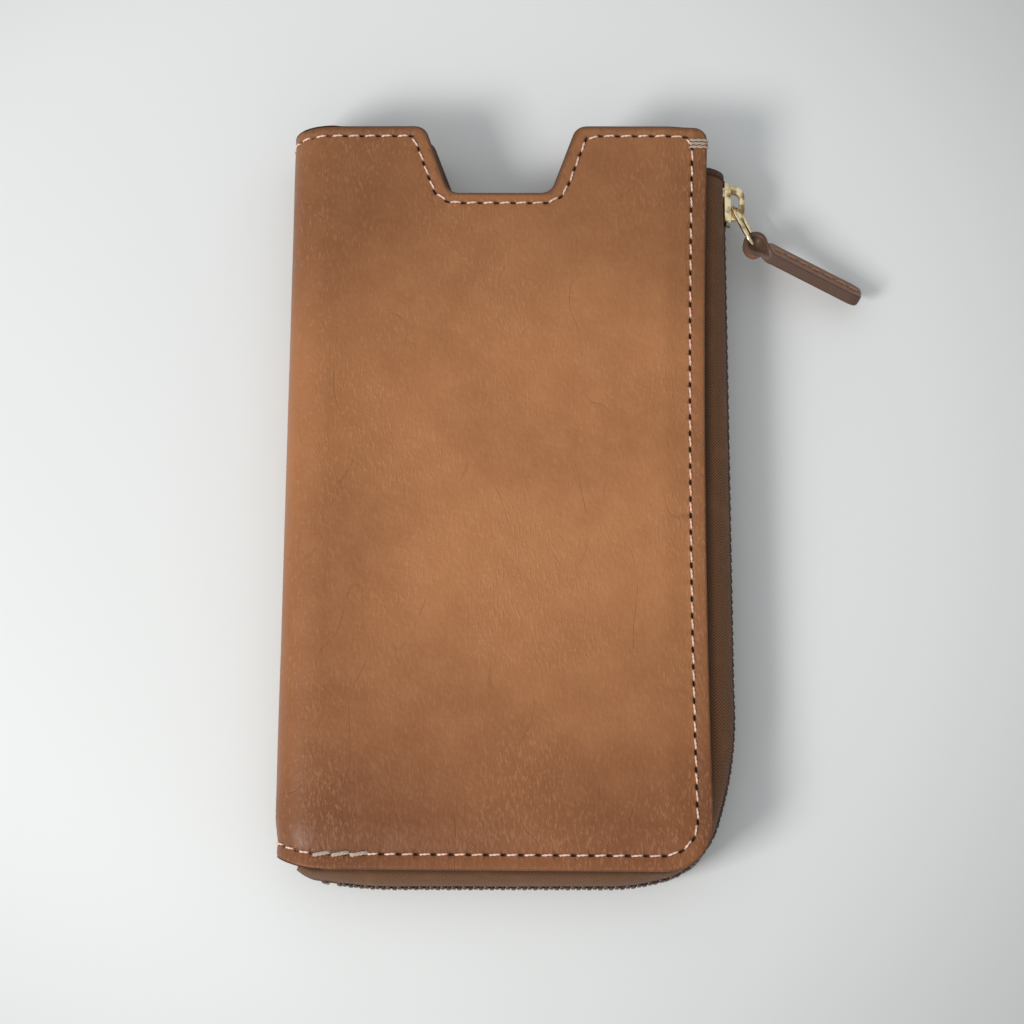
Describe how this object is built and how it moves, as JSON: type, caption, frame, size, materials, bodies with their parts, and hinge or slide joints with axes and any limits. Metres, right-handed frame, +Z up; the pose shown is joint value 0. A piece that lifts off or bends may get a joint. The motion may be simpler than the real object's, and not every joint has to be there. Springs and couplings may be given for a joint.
{
  "type": "phone wallet case",
  "caption": "Zip-round leather phone wallet: one leather wrap with a thumb notch at the mouth, phone sleeve, stepped card pockets, side-and-bottom zip with slider, ring and leather pull.",
  "frame": {"origin": "middle of the back panel's flat outer face, which the case lies on", "axes": "+X to the zipped side, +Y to the open mouth with the thumb notch, +Z up through the front"},
  "size_m": [0.1226, 0.1613, 0.0186],
  "materials": {
    "wrap_leather": "smooth tan full-grain leather with fine creases",
    "inner_leather": "thin matt leather",
    "pull_leather": "tan leather with dark painted edges",
    "lining_fabric": "fine plain-weave lining",
    "zip_tape": "brown twill tape",
    "zip_teeth": "dark brown moulded teeth",
    "slider_brass": "pale antique brass, worn bright on its edges",
    "thread": "pale waxed thread"
  },
  "bodies": {
    "back": {"back_panel": "wrap_leather", "spine": "wrap_leather", "back_lining": "lining_fabric", "card_pocket_1": "inner_leather", "card_pocket_2": "inner_leather", "card_pocket_3": "inner_leather", "lower_zip_tape": "zip_tape", "lower_zip_teeth": "zip_teeth", "lower_top_stop": "zip_teeth", "bottom_stop": "zip_teeth", "back_stitching": "thread"},
    "cover": {"front_panel": "wrap_leather", "front_lining": "lining_fabric", "phone_sleeve": "inner_leather", "phone_sleeve_lining": "lining_fabric", "upper_zip_tape": "zip_tape", "upper_zip_teeth": "zip_teeth", "upper_top_stop": "zip_teeth", "front_seam_stitching": "thread", "mouth_stitching": "thread", "bar_tacks": "thread"},
    "slider": {"slider_body": "slider_brass", "slider_bridge": "slider_brass"},
    "pull_ring": {"pull_ring": "slider_brass"},
    "pull_tab": {"pull_tab": "pull_leather", "pull_tab_stitching": "thread"}
  },
  "joints": [
    {"name": "cover_hinge", "type": "hinge", "parent": "back", "child": "cover", "pos_m": [-0.0347, 0, 0.0093], "axis": [0, -1, 0], "range_deg": [0, 35], "deforming": ["spine", "upper_zip_tape", "upper_zip_teeth", "upper_top_stop"]},
    {"name": "slider_slide", "type": "slide", "parent": "back", "child": "slider", "axis": [0.008, -1, 0], "range_m": [0, 0.1055]},
    {"name": "ring_swing", "type": "hinge", "parent": "slider", "child": "pull_ring", "pos_m": [0.05105, 0.0639, 0.0089], "axis": [0, 0, 1], "range_deg": [-3, 75]},
    {"name": "tab_swing", "type": "hinge", "parent": "pull_ring", "child": "pull_tab", "pos_m": [0.05536, 0.05544, 0.0089], "axis": [0, 0, 1], "range_deg": [-45, 45]}
  ],
  "couplings": [
    {"joint": "slider_slide", "follows": "cover_hinge", "m_per_rad": 0.1727}
  ]
}
